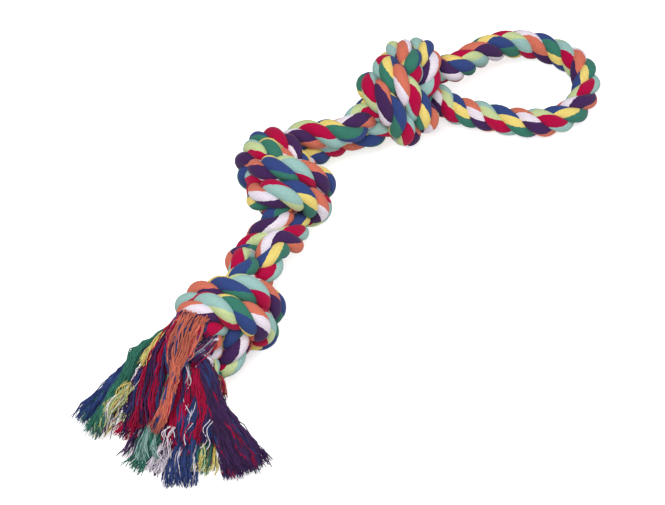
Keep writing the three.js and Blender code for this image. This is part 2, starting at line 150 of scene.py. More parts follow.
# Hand loop, free stretches and rope ends
LOOP_POINTS = np.array([
    (197, 30, 36),
    (217, 29.5, 32),
    (237, 28, 27),
    (256, 22, 21.5),
    (272, 9, 17),
    (281, -10, 13),
    (284, -28, 11),
    (277, -43, 9.6),
    (260, -55, 9.6),
    (237, -60, 11),
    (216, -54, 12),
    (202, -41, 12),
    (190, -22, 12.5),
    (181, -5, 14),
    (172.5, 10, 16),
])
LOOP_STEP = 16.0
KNOT_SPAN_POINTS = 24
LOOP_SPAN_POINTS = 12

# Middle of the two ropes of each leg, their heading there, and how far they are turned over
LEGS = (
    (81.5, 55.0, 28.0, 172.0, 50.0),
    (-58.0, 24.0, 35.5, 210.0, 245.0),
)
SIDE_BY_SIDE = 0.96
FREE_STEP = 8.0
LEAST_SPANS = 4
NECK_EASE = 0.45
SETTLE_ROUNDS = 300
SETTLE_EVEN = 0.3  # share by which a point follows its neighbours' shift in a round
SETTLE_PUSH = 0.2
SETTLE_DEPTH = 3  # points into a free stretch before the ropes are fully apart
OWN_STRETCH = 1.25  # diameters along the rope that never push each other
FAN_HEADING = math.radians(207.0)
FAN_ALONG = np.array([math.cos(FAN_HEADING), math.sin(FAN_HEADING), 0.0])
ROPE_ENDS = {"a": np.array([-179.0, -12.0, 49.0]), "b": np.array([-177.0, -36.5, 26.5])}
UP = np.array([0.0, 0.0, 1.0])

# Where the strands stop and loose yarn goes on, as distances from each rope's end
UNLAID = {"a": 24.0, "b": 14.0}

# Bends: the two bodies, the hinge, the way from one to the other, and how far before and after
# the hinge the rope starts and stops to bend
BENDS = {
    "handle_neck": ("knot_1", "handle", "handle_lift", (0.556, -0.831, 0.0), -10.0, 10.0),
    "leg_1_near": ("knot_2", "leg_1", "leg_1_bend", (0.966, -0.258, 0.0), -11.0, 12.0),
    "leg_1_far": ("leg_1", "knot_1", "knot_1_lift", (0.953, -0.302, 0.0), -11.5, 11.5),
    "leg_2_near": ("knot_2", "leg_2", "leg_2_bend", (-0.978, -0.206, 0.0), -11.0, 14.0),
    "leg_2_far": ("leg_2", "knot_3", "knot_3_lift", (-0.906, -0.423, 0.0), -12.0, 12.0),
    "tassel": ("knot_3", "tassel", "tassel_lift", (-0.891, -0.454, 0.0), -7.0, 14.0),
}

# Tassel: locks of loose yarn. Each has the bundle that it belongs to, its dyes, how many threads,
# its heights from start to end, and its middle as it is seen by the camera, with its width
LOCKS = (
    ("a_lime", ("lime", "lime", "lime", "green"), 60, (50, 9), (
        (203, 318, 8), (178, 345, 9), (148, 385, 10), (132, 412, 13), (120, 429, 16))),
    ("a_blue", ("blue", "blue", "blue", "blue", "green"), 130, (52, 8), (
        (203, 317, 8), (172, 332, 7), (146, 349, 7), (131, 364, 9), (119, 378, 12), (106, 392, 15),
        (92, 407, 18), (79, 425, 20))),
    ("a_green", ("green",), 110, (54, 9), (
        (203, 317, 8), (176, 328, 8), (150, 344, 9), (137, 354, 12), (132, 367, 14), (125, 381, 15),
        (113, 399, 12), (102, 416, 13), (92, 438, 15))),
    ("a_red", ("red", "red", "red", "purple"), 90, (48, 6), (
        (203, 319, 8), (180, 350, 10), (148, 392, 12), (132, 420, 15), (122, 441, 24))),
    ("a_red", ("white", "purple", "white", "green", "purple"), 55, (46, 2), (
        (203, 319, 8), (182, 352, 10), (156, 400, 12), (140, 435, 16), (130, 455, 18), (124, 462, 16))),
    ("a_white", ("white", "purple", "purple", "yellow"), 45, (52, 7), (
        (203, 317, 8), (176, 336, 8), (148, 363, 7), (137, 382, 9), (126, 398, 12), (113, 414, 13),
        (105, 430, 13), (101, 441, 13))),
    ("a_yellow", ("yellow", "yellow", "yellow", "lime"), 44, (62, 44), (
        (203, 317, 9), (178, 326, 7), (163, 336, 8), (152, 347, 8), (145, 358, 7), (141, 367, 5))),
    ("a_yellow", ("yellow", "white", "lime"), 22, (26, 10), (
        (132, 383, 6), (122, 396, 9), (112, 407, 11), (105, 420, 10), (101, 436, 10))),
    ("a_mint", ("mint", "mint", "mint", "mint", "green"), 130, (48, 7), (
        (203, 319, 8), (184, 352, 10), (165, 400, 13), (153, 432, 16), (147, 450, 20), (148, 465, 23))),
    ("a_purple", ("purple", "purple", "blue"), 90, (54, 55, 48, 40, 31, 23, 15, 9), (
        (203, 317, 9), (178, 328, 10), (158, 350, 12), (145, 374, 14), (138, 392, 16), (133, 411, 18),
        (130, 426, 17))),
    ("a_purple", ("red", "purple", "blue", "red", "purple"), 170, (56, 60, 54, 47, 39, 30, 21, 14), (
        (203, 317, 10), (179, 326, 14), (166, 342, 18), (157, 362, 24), (152, 385, 26), (148, 410, 28),
        (146, 431, 26))),
    ("a_orange", ("orange",) * 9 + ("purple", "blue", "red"), 340, (58, 68, 66, 60, 54, 47, 39, 30, 20), (
        (206, 310, 18), (192, 321, 30), (184, 335, 33), (179, 352, 27), (174, 365, 10), (175, 376, 7),
        (168, 396, 5), (163, 415, 6), (153, 433, 11))),
    ("a_orange", ("orange",), 26, (50, 18), (
        (195, 330, 10), (184, 352, 9), (176, 372, 6), (176, 388, 6), (173, 400, 6), (178, 417, 7),
        (175, 438, 9))),
    ("b_white", ("white", "white", "purple", "white"), 80, (30, 3), (
        (208, 372, 12), (190, 410, 13), (170, 445, 15), (160, 462, 18), (154, 477, 22))),
    ("b_white", ("green", "green", "purple"), 45, (30, 3), (
        (206, 372, 12), (180, 412, 13), (152, 448, 15), (138, 464, 18), (133, 474, 18))),
    ("b_white", ("white",), 26, (57, 42), (
        (196, 343, 5), (203, 352, 6), (211, 361, 7), (214, 369, 5))),
    ("b_orange", ("orange", "red", "orange"), 40, (32, 9), (
        (209, 374, 12), (196, 410, 13), (188, 436, 14), (182, 452, 18), (178, 458, 18))),
    ("b_orange", ("orange",), 16, (36, 26), (
        (212, 372, 5), (215, 383, 6), (218, 394, 8), (219, 402, 6))),
    ("b_red", ("red", "purple", "red", "purple", "red", "blue"), 170, (46, 16), (
        (203, 356, 8), (186, 366, 9), (182, 380, 13), (182, 398, 18), (178, 418, 23), (174, 438, 26),
        (173, 449, 24))),
    ("b_red", ("red", "red", "red", "red", "purple"), 170, (46, 18), (
        (204, 356, 7), (200, 366, 9), (198, 380, 11), (200, 394, 13), (203, 410, 14), (201, 428, 16),
        (197, 444, 18))),
    ("b_red", ("red", "red", "green"), 40, (34, 6), (
        (209, 376, 9), (208, 410, 10), (206, 440, 12), (205, 455, 13), (204, 467, 13))),
    ("b_blue", ("blue", "mint", "white", "blue"), 50, (48, 19), (
        (203, 356, 6), (191, 363, 8), (189, 376, 9), (190, 392, 8), (187, 414, 7), (186, 424, 5))),
    ("b_blue", ("blue", "blue", "blue", "white", "blue"), 170, (34, 3), (
        (208, 374, 12), (197, 408, 16), (187, 440, 22), (181, 462, 30), (178, 480, 34), (178, 489, 33))),
    ("b_mint", ("mint", "mint", "lime"), 40, (33, 4), (
        (209, 376, 9), (203, 410, 10), (196, 440, 11), (191, 456, 12), (189, 468, 12))),
    ("b_lime", ("lime", "lime", "mint"), 36, (32, 3), (
        (209, 377, 9), (204, 412, 10), (198, 444, 10), (195, 460, 9), (194, 472, 9))),
    ("b_green", ("purple", "green", "blue"), 90, (30, 3), (
        (211, 378, 10), (220, 412, 16), (234, 444, 30), (243, 466, 42), (247, 477, 44))),
    ("b_yellow", ("yellow", "lime", "green"), 50, (31, 4), (
        (210, 378, 10), (211, 412, 11), (209, 444, 14), (207, 462, 16), (205, 477, 17))),
    ("b_purple", ("purple",) * 9 + ("blue", "blue", "red"), 350, (40, 12), (
        (208, 364, 10), (211, 382, 12), (215, 402, 15), (223, 422, 24), (234, 444, 36), (245, 466, 49),
        (249, 474, 50))),
    ("b_purple", ("purple",) * 6 + ("blue", "white"), 100, (50, 21), (
        (201, 352, 7), (201, 360, 9), (207, 373, 11), (211, 390, 11), (212, 408, 11), (208, 430, 12),
        (206, 444, 12))),
)
# Threads that have come loose and curl, written the same way
CURLS = (
    ("a_yellow", ("yellow", "yellow", "lime"), 24, (28, 15), (
        (132, 383, 7), (122, 395, 12), (114, 404, 13), (107, 415, 10))),
    ("a_white", ("white", "purple"), 6, (32, 10), (
        (142, 368, 5), (129, 390, 7), (117, 408, 10), (105, 426, 9))),
    ("a_orange", ("white", "yellow"), 3, (46, 26), (
        (175, 371, 4), (168, 386, 5), (168, 402, 5))),
    ("b_white", ("white",), 2, (54, 24), (
        (194, 352, 5), (190, 372, 6), (189, 395, 6), (187, 422, 5))),
    ("b_white", ("white",), 2, (30, 20), (
        (210, 420, 5), (207, 432, 6), (205, 443, 6), (204, 452, 5))),
    ("b_white", ("white", "white", "purple"), 12, (26, 7), (
        (172, 426, 8), (168, 441, 10), (165, 455, 12), (163, 464, 12))),
    ("b_red", ("red", "white", "red"), 7, (27, 17), (
        (194, 422, 8), (191, 434, 10), (193, 446, 9))),
    ("b_orange", ("orange",), 4, (36, 22), (
        (213, 388, 4), (217, 402, 7), (219, 412, 8), (224, 424, 4))),
)
LOCK_SPAN_POINTS = 8
THREAD_STEPS = 11
CURL_STEPS = 34
# Threads of a lock and of a curl: points along, fewest and one more than most threads of a yarn,
# and the length and size of their waves
LOCK_WAY = (THREAD_STEPS, 2, 6, (20, 44), (0.4, 1.6))
CURL_WAY = (CURL_STEPS, 1, 2, (13, 30), (0.8, 2.6))
STARTS_WITHIN = 0.06  # of a lock's length
STOPS_WITHIN = 0.1
STOPS_LATE = 1.5  # power that makes most yarns reach the end
RAGGED = 5  # between the ends of one yarn's threads
SWAY = 2.5
YARN_TWIST = (0.1, 0.2)  # radians for each millimetre
THREADS_APART = (0.4, 1.3)  # from the middle of their yarn
THICKEST = 5.0  # half of a lock's height
FRAYS_FROM = 0.85  # of a lock's length
FRAYS_BY = 1.4
THREAD_SIZES = (0.8, 1.2)
TIP = 0.6  # thickness at a thread's end, as a share
TILTED_UP = (0.01, 0.02, 0)  # keeps a thread that stands straight up from having no side
PIXEL_PLACE = (170, 400, 10)  # place in the picture and height where its scale is taken
CURL_THREAD = 0.65  # thickness of a curled thread
ROOT_SPREAD = 0.44  # of the rope's diameter
ROOT_TURN = (0.2, 0.7)  # radians along a rope's end
ROOT_DYES = {
    "a": ("purple", "purple", "white", "blue", "purple", "red"),
    "b": ("orange", "purple", "orange", "red", "purple"),
}
ROOT_THREADS = 90
THREAD = 0.8  # thickness of a loose thread
FULLNESS = 1.4  # threads made for each one counted in a lock
THREAD_SIDES = 4
SEED = 7

# Colours of the dyed cotton, as seen in plain light
DYES = {
    "blue": (50, 70, 128),
    "yellow": (238, 214, 122),
    "green": (56, 121, 104),
    "orange": (213, 115, 93),
    "white": (234, 224, 236),
    "purple": (66, 37, 86),
    "mint": (155, 193, 188),
    "lime": (197, 212, 154),
    "red": (178, 0, 64),
}
COTTON = {
    "Roughness": 0.92,
    "Specular IOR Level": 0.18,
    "Sheen Weight": 0.06,
    "Sheen Roughness": 0.5,
}
# Strands: size of the yarns' wandering edges, threads of a yarn round and along, flecks, and relief
EDGE_SCALE = 260.0
EDGE_WANDER = 0.05  # of a strand's way round
THREADS_ROUND = 40.0
THREADS_ALONG = 1.2
THREAD_TONE = (0.34, 0.83)  # how much the brightness varies, and its least
FLECK_SCALE = 1300.0
FLECK_TONE = (0.7, 0.65)
FLECK_RELIEF = 0.5  # beside that of the threads
RELIEF_STRENGTH = 0.35
RELIEF_DEPTH = 0.0006
# Loose yarn: patches that differ from thread to thread and along each, and how the brightness varies
PATCHES_APART = 300.0
PATCHES_ALONG = 4.0
YARN_TONE = (0.5, 0.6)
PATCH_TONE = (0.5, 0.8)
GRAIN = (3.0, 0.6)  # detail and roughness of the noise in threads and patches

# Floor and light
FLOOR_SIZE = 8.0  # metres
FLOOR_WHITE = 0.92
FLOOR_GLOW = 0.6  # only as the camera sees it, which keeps the shadows faint
SKY_SEEN = 0.66  # added to the sky's light where it is seen or mirrored
SKY_LIGHT = 0.34
PANEL_SIZE = 1.2
PANELS = (
    ("key_panel", (-0.9, -0.2, 1.7), 25.0),
    ("fill_panel", (0.9, -0.9, 1.4), 9.0),
)


def in_frame(points):
    return (np.asarray(points) + LAYOUT_SHIFT) / 1000


def linear(colour):
    shares = [c / 255 for c in colour]
    return tuple(c / 12.92 if c <= 0.04045 else ((c + 0.055) / 1.055) ** 2.4 for c in shares) + (1.0,)


def unit(rows):
    return rows / np.linalg.norm(rows, axis=-1, keepdims=True)


def run_along(points):
    return np.concatenate([[0.0], np.cumsum(np.linalg.norm(np.diff(points, axis=0), axis=1))])


def sampled(points, run, at):
    return np.stack([np.interp(at, run, points[:, axis]) for axis in range(3)], axis=1)


def spaced(points, step):
    run = run_along(points)
    links = max(1, round(run[-1] / step))
    return sampled(points, run, np.linspace(0, run[-1], links + 1))


def smooth_curve(points, per_span):
    padded = np.vstack([2 * points[0] - points[1], points, 2 * points[-1] - points[-2]])
    share = (np.arange(per_span) / per_span)[:, None]
    rows = []
    for i in range(len(points) - 1):
        before, start, end, after = padded[i:i + 4]
        leave = (end - before) / 2
        arrive = (after - start) / 2
        bulge = 3 * (end - start) - 2 * leave - arrive
        twist = 2 * (start - end) + leave + arrive
        rows.append(start + leave * share + bulge * share ** 2 + twist * share ** 3)
    return np.vstack(rows + [points[-1:]])


def tangents(points):
    way = np.empty_like(points)
    way[1:-1] = points[2:] - points[:-2]
    way[0] = points[1] - points[0]
    way[-1] = points[-1] - points[-2]
    return unit(way)


def bridge(start, start_way, end, end_way, ease=1 / 3):
    distance = np.linalg.norm(end - start)
    spans = max(LEAST_SPANS, round(distance / FREE_STEP))
    leave = start + start_way * ease * distance
    arrive = end - end_way * ease * distance
    t = np.linspace(0, 1, spans + 1)[:, None]
    s = 1 - t
    return s ** 3 * start + 3 * s * s * t * leave + 3 * s * t * t * arrive + t ** 3 * end


# Camera

def make_camera():
    data = bpy.data.cameras.new("photo_view")
    data.lens = LENS
    data.sensor_width = SENSOR
    data.clip_end = VIEW_REACH
    camera = bpy.data.objects.new("photo_view", data)
    bpy.context.scene.collection.objects.link(camera)
    place = Vector(in_frame(VIEW_FROM))
    camera.location = place
    camera.rotation_euler = (Vector(in_frame(VIEW_AT)) - place).to_track_quat("-Z", "Y").to_euler()
    bpy.context.scene.camera = camera


make_camera()


# The rope's route: the same steps as in the part's source

def loose_knot():
    half = LOOSE_HALF * (LOOSE_RADIUS, LOOSE_RADIUS, LOOSE_RISE)
    half = np.vstack([half, half[-1] - (0, 0, LOOSE_TAIL)])
    other = half[:0:-1] * (-1, 1, -1)
    return spaced(smooth_curve(np.vstack([other, half]), KNOT_SPAN_POINTS), LINK)


def doubled(line):
    along = tangents(line)
    side = np.cross(along, line * (1, 1, 0))
    side[np.linalg.norm(side, axis=1) < 1e-3] = (0, 1, 0)
    side = unit(side)
    for _ in range(SIDE_SMOOTHINGS):
        side[1:-1] = side[1:-1] * SIDE_KEPT + (1 - SIDE_KEPT) / 2 * (side[:-2] + side[2:])
        side = unit(side - (side * along).sum(1, keepdims=True) * along)
    return np.stack([line + side / 2, line - side / 2])


def tie_knot():
    line = loose_knot()
    count = len(line)
    ropes = doubled(line)
    start_reach = abs(line[0, 2])
    end_reach = (LINK * (count - 1) - TAKE_UP) / 2
    first_order, last_order = np.sign(ropes[0, [0, -1], 1] - ropes[1, [0, -1], 1])
    one, two = np.triu_indices(2 * count, 1)
    far = ((one < count) != (two < count)) | ((two - one) * LINK >= NEIGHBOURS)
    one, two = one[far], two[far]
    for turn in range(TIE_ROUNDS):
        reach = start_reach + (end_reach - start_reach) * min(1, turn / (PULLED_BY * TIE_ROUNDS))
        for rope, offset in zip(ropes, (PRESSED / 2, -PRESSED / 2)):
            rope[0] = (0, offset * first_order, reach)
            rope[-1] = (0, offset * last_order, -reach)
        bend = SOFT if turn > SETTLES_AT * TIE_ROUNDS else STIFF
        ropes[:, 1:-1] += bend * ((ropes[:, :-2] + ropes[:, 2:]) / 2 - ropes[:, 1:-1])
        points = ropes.reshape(-1, 3)
        if turn % LOOK_EVERY == 0:
            gap = points[one] - points[two]
            near = np.flatnonzero(np.einsum("ij,ij->i", gap, gap) < (PRESSED + LOOK_MARGIN) ** 2)
            i, j = one[near], two[near]
        for _ in range(PUSH_PASSES):
            gap = points[i] - points[j]
            square = np.einsum("ij,ij->i", gap, gap)
            hit = np.flatnonzero(square < PRESSED ** 2)
            length = np.sqrt(square[hit]) + 1e-9
            push = (PUSH_SHARE * (PRESSED - length) / length)[:, None] * gap[hit]
            move = np.zeros_like(points)
            np.add.at(move, i[hit], push)
            np.add.at(move, j[hit], -push)
            points += np.clip(move, -PUSH_MOST, PUSH_MOST)
            for first in (0, 1):
                stop = (count - first) // 2 * 2 + first
                link = ropes[:, first + 1:stop:2] - ropes[:, first:stop:2]
                link *= (1 - LINK / np.linalg.norm(link, axis=2, keepdims=True)) / 2
                ropes[:, first:stop:2] += link
                ropes[:, first + 1:stop:2] -= link
    return ropes


def between_mouths(rope, upper_reach):
    along = rope[:, 2]
    first = int(np.argmax(along < upper_reach))
    last = int(np.flatnonzero(along > -KNOT_REACH)[-1])

    def cut(i, at):
        share = (at - along[i]) / (along[i + 1] - along[i])
        return rope[i] + (rope[i + 1] - rope[i]) * share

    return np.vstack([cut(first - 1, upper_reach), rope[first + 1:last], cut(last, -KNOT_REACH)])


def set_down(tied, knot):
    x, y, heading, roll, lower_reach = knot
    axis = np.array([math.cos(math.radians(heading)), math.sin(math.radians(heading)), 0])
    front = UP * math.cos(math.radians(roll)) + np.cross(axis, UP) * math.sin(math.radians(roll))
    basis = np.stack([np.cross(front, axis), front, axis])
    heights = [(rope[0] @ basis)[2] for rope in tied]
    lower = 0 if heights[0] < heights[1] else 1
    ropes = []
    for r, rope in enumerate(tied):
        own = between_mouths(rope, lower_reach if r == lower else KNOT_REACH)
        ropes.append(own * ROPE @ basis)
    lowest = min(rope[:, 2].min() for rope in ropes)
    shift = np.array([x, y, ROPE / 2 - FLAT - lowest])
    return [rope + shift for rope in ropes]


def in_order(start, end):
    straight = np.linalg.norm(start[0] - end[0]) + np.linalg.norm(start[1] - end[1])
    crossed = np.linalg.norm(start[0] - end[1]) + np.linalg.norm(start[1] - end[0])
    return (0, 1) if straight <= crossed else (1, 0)


# The middles of the two ropes half way along a leg, the higher one first, and their way
def leg_middle(leg):
    x, y, z, heading, roll = leg
    way = np.array([math.cos(math.radians(heading)), math.sin(math.radians(heading)), 0])
    lean = np.cross(UP, way) * math.cos(math.radians(roll)) + UP * math.sin(math.radians(roll))
    middle = np.array([x, y, z])
    return [middle + lean * side * SIDE_BY_SIDE * ROPE / 2 for side in (1, -1)], way


def leg_rope(start, middle, middle_way, end):
    first = bridge(start[-1], tangents(start)[-1], middle, middle_way)
    second = bridge(middle, middle_way, end[0], tangents(end)[0])
    return np.vstack([first, second[1:]])


def rope_stretches():
    tied = tie_knot()
    knots = [set_down(tied, knot) for knot in KNOTS]
    arc = spaced(smooth_curve(LOOP_POINTS, LOOP_SPAN_POINTS), LOOP_STEP)
    arc_way = tangents(arc)
    leaving = [arc[0], arc[-1]]
    for k, pair in enumerate(knots):
        knots[k] = [pair[i] for i in in_order(leaving, [rope[0] for rope in pair])]
        leaving = [rope[-1] for rope in knots[k]]
    names = ["ab"[i] for i in in_order(leaving, [ROPE_ENDS["a"], ROPE_ENDS["b"]])]
    middles = []
    for pair, leg in zip(knots, LEGS):
        (higher, lower), way = leg_middle(leg)
        first_is_higher = pair[0][-1][2] > pair[1][-1][2]
        middles.append(([higher, lower] if first_is_higher else [lower, higher], way))
    halves = []
    for h, name in enumerate(names):
        one, two, three = [pair[h] for pair in knots]
        way_one, way_two, way_three = [tangents(rope) for rope in (one, two, three)]
        arm_end, arm_way = (arc[0], -arc_way[0]) if h == 0 else (arc[-1], arc_way[-1])
        halves.append([
            ("handle_neck_" + name, bridge(arm_end, arm_way, one[0], way_one[0], NECK_EASE)),
            ("knot_1_rope_" + name, one),
            ("leg_1_rope_" + name, leg_rope(one, middles[0][0][h], middles[0][1], two)),
            ("knot_2_rope_" + name, two),
            ("leg_2_rope_" + name, leg_rope(two, middles[1][0][h], middles[1][1], three)),
            ("knot_3_rope_" + name, three),
            ("tassel_root_" + name, bridge(three[-1], way_three[-1], ROPE_ENDS[name], FAN_ALONG)),
        ])
    back = [(name, points[::-1]) for name, points in reversed(halves[0])]
    return back + [("handle_loop", arc)] + halves[1]


def rope_line():
    points = np.zeros((0, 3))
    free = {}
    stretches = []
    for name, own in rope_stretches():
        first = max(0, len(points) - 1)
        points = np.vstack([points, own if len(points) == 0 else own[1:]])
        last = len(points) - 1
        stretches.append((name, first, last))
        if name.startswith(("handle_neck", "leg", "tassel")):
            free.update({i: min(i - first, last - i) for i in range(first + 2, last - 1)})
    run = run_along(points)
    apart = np.abs(run[:, None] - run[None]) > OWN_STRETCH * ROPE
    return settled(points, free, apart), stretches


def settled(points, free, apart):
    movable = np.array(list(free))
    depth = np.array(list(free.values()))
    want = np.full(len(points), np.inf)
    opened = np.minimum(1, (depth - 1) / SETTLE_DEPTH)
    want[movable] = (PRESSED + (SIDE_BY_SIDE - PRESSED) * opened) * ROPE
    want_pairs = np.minimum(want[movable][:, None], want[None])
    may_push = apart[movable]
    shift = np.zeros_like(points)
    moved = points.copy()
    for _ in range(SETTLE_ROUNDS):
        away = moved[movable][:, None] - moved[None]
        distance = np.linalg.norm(away, axis=2) + 1e-9
        short = np.where(may_push, np.maximum(0, want_pairs - distance), 0)
        mean = (shift[movable - 1] + shift[movable + 1]) / 2
        push = SETTLE_PUSH * (away * (short / distance)[..., None]).sum(1)
        shift[movable] += SETTLE_EVEN * (mean - shift[movable]) + push
        moved = points + shift
    return moved


# A smooth line through the route's points, with even steps and the place of each stretch on it
def fine_route():
    points, stretches = rope_line()
    run = run_along(points)
    slope = np.gradient(points, run, axis=0)
    count = round(run[-1] / (STEP / FINER))
    at = np.linspace(0, run[-1], count + 1)
    i = np.clip(np.searchsorted(run, at, side="right") - 1, 0, len(points) - 2)
    length = (run[i + 1] - run[i])[:, None]
    t = (at - run[i])[:, None] / length
    dense = (
        (2 * t ** 3 - 3 * t ** 2 + 1) * points[i] + (t ** 3 - 2 * t ** 2 + t) * length * slope[i]
        + (3 * t ** 2 - 2 * t ** 3) * points[i + 1] + (t ** 3 - t ** 2) * length * slope[i + 1]
    )
    dense_run = run_along(dense)
    rows = round(dense_run[-1] / STEP)
    even = np.linspace(0, dense_run[-1], rows + 1)
    line = sampled(dense, dense_run, even)
    for _ in range(ROUTE_SMOOTHINGS):
        line[1:-1] += ROUTE_EVEN * (line[:-2] - 2 * line[1:-1] + line[2:])
    marks = np.searchsorted(even, np.interp(run, at, dense_run))
    spans = {name: (int(marks[first]), int(marks[last])) for name, first, last in stretches}
    return line, spans


# Strands

def carried_across(along, start):
    across = np.empty_like(along)
    across[0] = unit(start - (start @ along[0]) * along[0])
    for i in range(1, len(along)):
        step = across[i - 1] - (across[i - 1] @ along[i]) * along[i]
        across[i] = step / np.linalg.norm(step)
    return across


# How far a rope's surface gives way where another stretch presses on it
def pressed_in(rings, line, run):
    thin = np.arange(0, len(line), PRESS_SKIP)
    for i in range(len(line)):
        away = line[thin] - line[i]
        distance = np.linalg.norm(away, axis=1)
        near = (distance < ROPE) & (np.abs(run[thin] - run[i]) > PRESS_APART * ROPE)
        for way, half in zip(away[near] / distance[near][:, None], distance[near] / 2):
            over = (rings[i] - line[i]) @ way - half
            rings[i] -= np.maximum(0, over)[..., None] * PRESS_GIVE * way
    rings[..., 2] = np.maximum(rings[..., 2], 0)


# The camera's axes, and its focal length in pixels
def camera_axes():
    forward = unit(VIEW_AT - VIEW_FROM)
    right = unit(np.cross(forward, UP))
    return forward, right, np.cross(right, forward), LENS / SENSOR * IMAGE_WIDTH


# Turns of the rope, and of each strand's yarns, that bring the crests to where they are seen
def turns_to_crests(line, run, across, over):
    forward, right, above, focal = camera_axes()
    away = line - VIEW_FROM
    depth = away @ forward
    seen_x = IMAGE_WIDTH / 2 + focal * (away @ right) / depth
    seen_y = IMAGE_HEIGHT / 2 - focal * (away @ above) / depth
    facing = np.arctan2(-(away * over).sum(1), -(away * across).sum(1)) / (2 * math.pi)
    marks = []
    for x, y, k, share in CRESTS:
        marks.append((int(np.argmin(np.hypot(seen_x - x, seen_y - y) + NEARER_WINS * depth)), k, share))
    marks.sort()
    shifts = [0.0]
    for i, k, _ in marks:
        wanted = facing[i] - k / 3 - run[i] / LAY
        shifts.append(shifts[-1] + (wanted - shifts[-1] + 0.5) % 1 - 0.5)
    rope_turns = run / LAY + np.interp(run, [run[i] for i, *_ in marks], shifts[1:])
    yarn_turns = []
    for k in range(3):
        own = [(i, share) for i, strand, share in marks if strand == k]
        phases = [0.0]
        for i, share in own:
            wanted = share - YARNS_TURN * rope_turns[i]
            phases.append(phases[-1] + (wanted - phases[-1] + 0.5) % 1 - 0.5)
        drift = np.interp(run, [run[i] for i, _ in own], phases[1:])
        yarn_turns.append(YARNS_TURN * rope_turns + drift)
    return rope_turns, yarn_turns


def strand_rings(line):
    along = tangents(line)
    across = carried_across(along, UP)
    over = np.cross(along, across)
    run = run_along(line)
    angle = 2 * math.pi * np.arange(STRAND_SIDES) / STRAND_SIDES
    borders = 2 * math.pi * np.cumsum(YARN_SHARES)
    nearest = np.abs((angle[:, None] - borders[None] + math.pi) % (2 * math.pi) - math.pi).min(1)
    radius = STRAND_RADIUS * (1 - YARN_GROOVE * np.exp(-(nearest / GROOVE_WIDTH) ** 2))
    rope_turns, yarn_turns = turns_to_crests(line, run, across, over)
    strands = []
    for k in range(3):
        turn = 2 * math.pi * (rope_turns + k / 3)
        out = np.cos(turn)[:, None] * across + np.sin(turn)[:, None] * over
        middle = line + STRAND_OFF * out
        way = tangents(middle)
        out = unit(out - (out * way).sum(1, keepdims=True) * way)
        beside = np.cross(way, out)
        round_angle = angle[None] - 2 * math.pi * yarn_turns[k][:, None]
        ring = np.cos(round_angle)[..., None] * out[:, None]
        ring = ring + np.sin(round_angle)[..., None] * beside[:, None]
        strands.append(middle[:, None] + ring * radius[None, :, None])
    rings = np.stack(strands, axis=1)
    pressed_in(rings, line, run)
    return rings, run


def new_piece(name, verts, faces, materials, material_of_face, uvs):
    mesh = bpy.data.meshes.new(name)
    mesh.from_pydata(verts.tolist(), [], faces)
    for material in materials:
        mesh.materials.append(material)
    mesh.polygons.foreach_set("material_index", material_of_face)
    mesh.uv_layers.new(name="yarn").data.foreach_set("uv", np.array(uvs).ravel())
    piece = bpy.data.objects.new(name, mesh)
    bpy.context.scene.collection.objects.link(piece)
    return piece


def rope_piece(name, rings, run, first, last):
    verts = []
    faces = []
    uvs = []
    strand_of_face = []
    rows = last - first + 1
    sides = STRAND_SIDES
    for k in range(3):
        base = k * rows * sides
        verts.append(in_frame(rings[first:last + 1, k].reshape(-1, 3)))
        for i in range(rows - 1):
            low, high = run[first + i] / ROPE, run[first + i + 1] / ROPE
            for j in range(sides):
                a = base + i * sides + j
                b = base + i * sides + (j + 1) % sides
                faces.append((a, b, b + sides, a + sides))
                left, right = j / sides, (j + 1) / sides
                uvs += [(left, low), (right, low), (right, high), (left, high)]
                strand_of_face.append(k)
        for row, order in ((0, range(sides - 1, -1, -1)), (rows - 1, range(sides))):
            faces.append([base + row * sides + j for j in order])
            uvs += [(j / sides, run[first + row] / ROPE) for j in order]
            strand_of_face.append(k)
    piece = new_piece(name, np.vstack(verts), faces, STRAND_MATERIALS, strand_of_face, uvs)
    smooth_with_hard_ends(piece.data)
    return piece


def smooth_with_hard_ends(mesh):
    mesh.update()
    mesh.polygons.foreach_set("use_smooth", [len(p.vertices) == 4 for p in mesh.polygons])
    rim = {key for p in mesh.polygons if len(p.vertices) > 4 for key in p.edge_keys}
    for edge in mesh.edges:
        edge.use_edge_sharp = edge.key in rim
    mesh.update()


# Materials

def new_material(title):
    material = bpy.data.materials.new(title)
    material.use_nodes = True
    shader = material.node_tree.nodes["Principled BSDF"]
    for name, value in COTTON.items():
        shader.inputs[name].default_value = value
    return material, material.node_tree, shader


def add_node(tree, kind, **settings):
    node = tree.nodes.new(kind)
    for key, value in settings.items():
        setattr(node, key, value)
    return node


def maths(tree, operation, one, two=None, three=None):
    node = add_node(tree, "ShaderNodeMath", operation=operation)
    for socket, value in zip(node.inputs, (one, two, three)):
        if isinstance(value, (int, float)):
            socket.default_value = value
        elif value is not None:
            tree.links.new(value, socket)
    return node.outputs[0]


def noise(tree, vector, scale, detail=2.0, rough=0.5):
    node = add_node(tree, "ShaderNodeTexNoise")
    node.inputs["Scale"].default_value = scale
    node.inputs["Detail"].default_value = detail
    node.inputs["Roughness"].default_value = rough
    tree.links.new(vector, node.inputs["Vector"])
    return node.outputs["Fac"]


def combined(tree, x, y, z=0.0):
    node = add_node(tree, "ShaderNodeCombineXYZ")
    for socket, value in zip(node.inputs, (x, y, z)):
        if isinstance(value, (int, float)):
            socket.default_value = value
        else:
            tree.links.new(value, socket)
    return node.outputs[0]


# The two coordinates of the map that both rope and yarn meshes have
def yarn_map(tree):
    uv = add_node(tree, "ShaderNodeUVMap", uv_map="yarn").outputs[0]
    split = add_node(tree, "ShaderNodeSeparateXYZ")
    tree.links.new(uv, split.inputs[0])
    return split.outputs[0], split.outputs[1]


